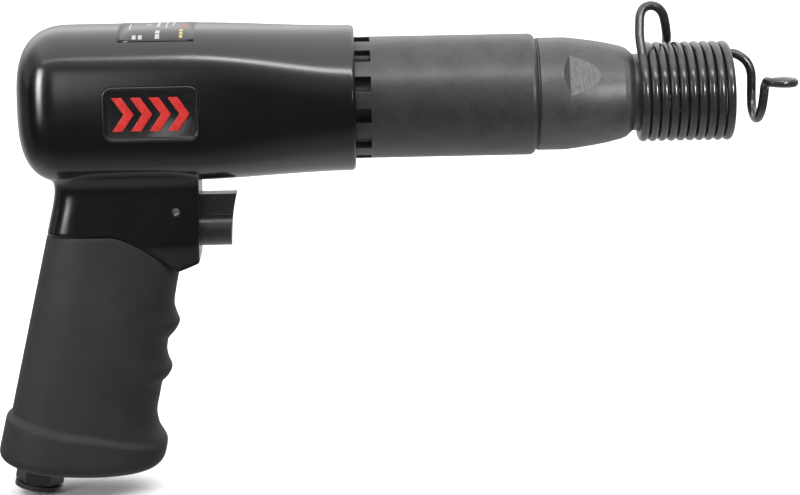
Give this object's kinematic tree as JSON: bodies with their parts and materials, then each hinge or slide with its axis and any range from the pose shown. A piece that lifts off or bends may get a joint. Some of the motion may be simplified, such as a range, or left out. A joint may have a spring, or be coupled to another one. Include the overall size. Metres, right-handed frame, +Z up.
{
  "type": "pneumatic chipping hammer",
  "caption": "Pistol-grip air hammer with an exhaust sleeve, tapered nose, wire retainer spring, plunger trigger and rubber grip, for driving chisels.",
  "frame": {"origin": "middle of the chisel bore's mouth, at the front end of the threaded spigot", "axes": "+X along the chisel bore, out of its mouth; +Z up, away from the handle; +Y to the tool's left"},
  "size_m": [0.3232, 0.0586, 0.1952],
  "materials": {
    "painted_housing": "semi-gloss black paint on cast aluminium",
    "grip_rubber": "matte, finely grained",
    "gloss_black": "glossy black",
    "red_inlay": "glossy red",
    "label_film": "satin printed film",
    "black_oxide_steel": "satin black oxide",
    "nose_steel": "satin black oxide, turned",
    "ground_steel": "ground",
    "spring_wire": "semi-gloss dark wire",
    "throttle_brass": "machined",
    "seal_rubber": "smooth black"
  },
  "bodies": {
    "root": {"housing": "painted_housing", "rubber_grip": "grip_rubber", "badge_plate": "gloss_black", "badge_inlay": "red_inlay", "rating_label": "label_film", "barrel_sleeve": "black_oxide_steel", "sleeve_seal": "seal_rubber", "barrel": "nose_steel", "barrel_seal": "seal_rubber", "valve_seat": "ground_steel", "valve_block": "ground_steel", "valve_pins": "ground_steel", "cushion_ring": "seal_rubber", "trigger_pin": "ground_steel", "throttle_bushing": "throttle_brass", "throttle_seal": "seal_rubber", "throttle_spring": "ground_steel", "inlet_bushing": "black_oxide_steel", "inlet_seal": "seal_rubber", "inlet_screen": "ground_steel"},
    "striker": {"piston": "ground_steel"},
    "flutter_valve": {"valve_disc": "ground_steel"},
    "trigger_plunger": {"trigger": "gloss_black"},
    "throttle_valve": {"throttle_stem": "ground_steel", "throttle_poppet": "throttle_brass"},
    "retainer": {"retainer_spring": "spring_wire"}
  },
  "joints": [
    {"name": "piston_slide", "type": "slide", "parent": "root", "child": "striker", "axis": [1, 0, 0], "range_m": [0, 0.092]},
    {"name": "valve_disc_slide", "type": "slide", "parent": "root", "child": "flutter_valve", "axis": [1, 0, 0], "range_m": [0, 0.001]},
    {"name": "trigger_slide", "type": "slide", "parent": "root", "child": "trigger_plunger", "axis": [-1, 0, 0], "range_m": [0, 0.007]},
    {"name": "throttle_slide", "type": "slide", "parent": "root", "child": "throttle_valve", "axis": [-1, 0, 0], "range_m": [0, 0.007], "deforming": ["throttle_spring"]},
    {"name": "retainer_turn", "type": "hinge", "parent": "root", "child": "retainer", "pos_m": [0, 0, 0], "axis": [1, 0, 0], "range_deg": [0, 900]}
  ],
  "couplings": [
    {"joint": "throttle_slide", "follows": "trigger_slide", "ratio": 1}
  ]
}
